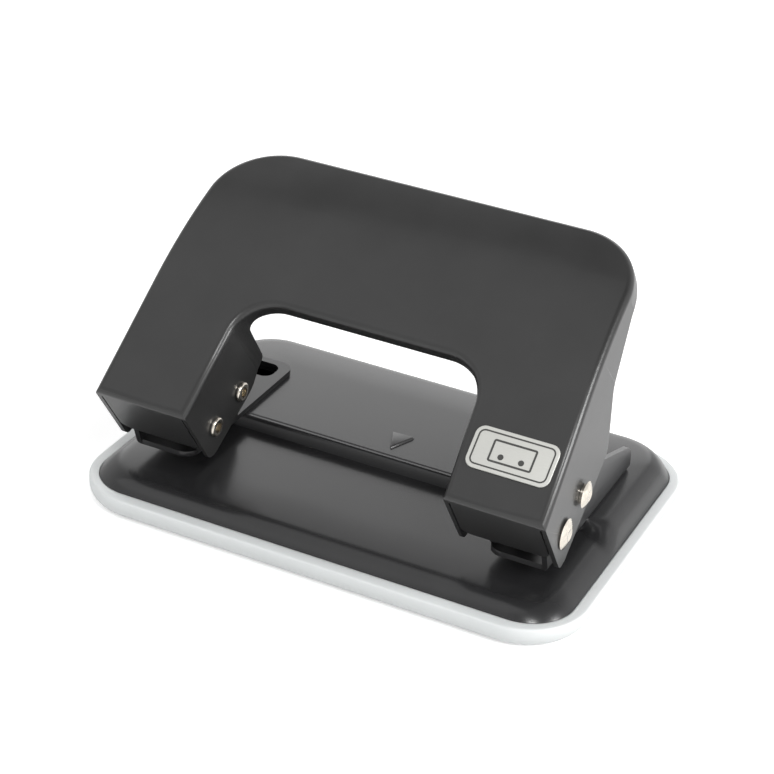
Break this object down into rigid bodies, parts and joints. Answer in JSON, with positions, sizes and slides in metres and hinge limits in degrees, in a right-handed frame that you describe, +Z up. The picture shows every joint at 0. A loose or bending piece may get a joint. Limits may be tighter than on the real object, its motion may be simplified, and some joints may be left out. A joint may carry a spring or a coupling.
{
  "type": "desk hole punch",
  "caption": "Desk hole punch: folded steel lever handle on sprung punches, pressed steel base with a paper stop, clip-on plastic chip tray.",
  "frame": {"origin": "middle of the chip tray's resting face", "axes": "+X to the right seen from the paper side, +Y to the rear, +Z up"},
  "size_m": [0.1164, 0.0812, 0.0661],
  "materials": {
    "handle_paint": "satin black paint",
    "base_paint": "satin dark grey paint",
    "bracket_paint": "satin black paint",
    "tray_plastic": "frosted, slightly translucent white",
    "badge_metal": "satin with a dark inset border",
    "nickel_plate": "nickel-plated steel",
    "tool_steel": "ground",
    "spring_steel": "drawn wire",
    "bush_steel": "turned"
  },
  "bodies": {
    "base": {"base_plate": "base_paint", "left_bracket": "bracket_paint", "left_bracket_rivets": "bracket_paint", "left_return_spring": "spring_steel", "right_bracket": "bracket_paint", "right_bracket_rivets": "bracket_paint", "right_return_spring": "spring_steel"},
    "handle": {"handle": "handle_paint", "badge": "badge_metal", "left_pivot_rivet": "nickel_plate", "left_drive_rivet": "nickel_plate", "left_pivot_bush": "bush_steel", "left_drive_spacers": "bush_steel", "right_pivot_rivet": "nickel_plate", "right_drive_rivet": "nickel_plate", "right_pivot_bush": "bush_steel", "right_drive_spacers": "bush_steel"},
    "left_punch": {"left_punch": "tool_steel"},
    "right_punch": {"right_punch": "tool_steel"},
    "tray": {"chip_tray": "tray_plastic"}
  },
  "joints": [
    {"name": "handle_press", "type": "hinge", "parent": "base", "child": "handle", "pos_m": [0, -0.02601, 0.021], "axis": [-1, 0, 0], "range_deg": [0, 36], "stiffness_Nm_per_rad": 0.12, "springref_deg": -45.84, "deforming": ["left_return_spring", "right_return_spring"]},
    {"name": "left_punch_slide", "type": "slide", "parent": "base", "child": "left_punch", "axis": [0, 0, -1], "range_m": [0, 0.00639]},
    {"name": "right_punch_slide", "type": "slide", "parent": "base", "child": "right_punch", "axis": [0, 0, -1], "range_m": [0, 0.00639]},
    {"name": "tray_release", "type": "slide", "parent": "base", "child": "tray", "axis": [0, 0, -1], "range_m": [0, 0.02]}
  ],
  "couplings": [
    {"joint": "left_punch_slide", "follows": "handle_press", "m_per_rad": 0.010177},
    {"joint": "right_punch_slide", "follows": "handle_press", "m_per_rad": 0.010177}
  ]
}
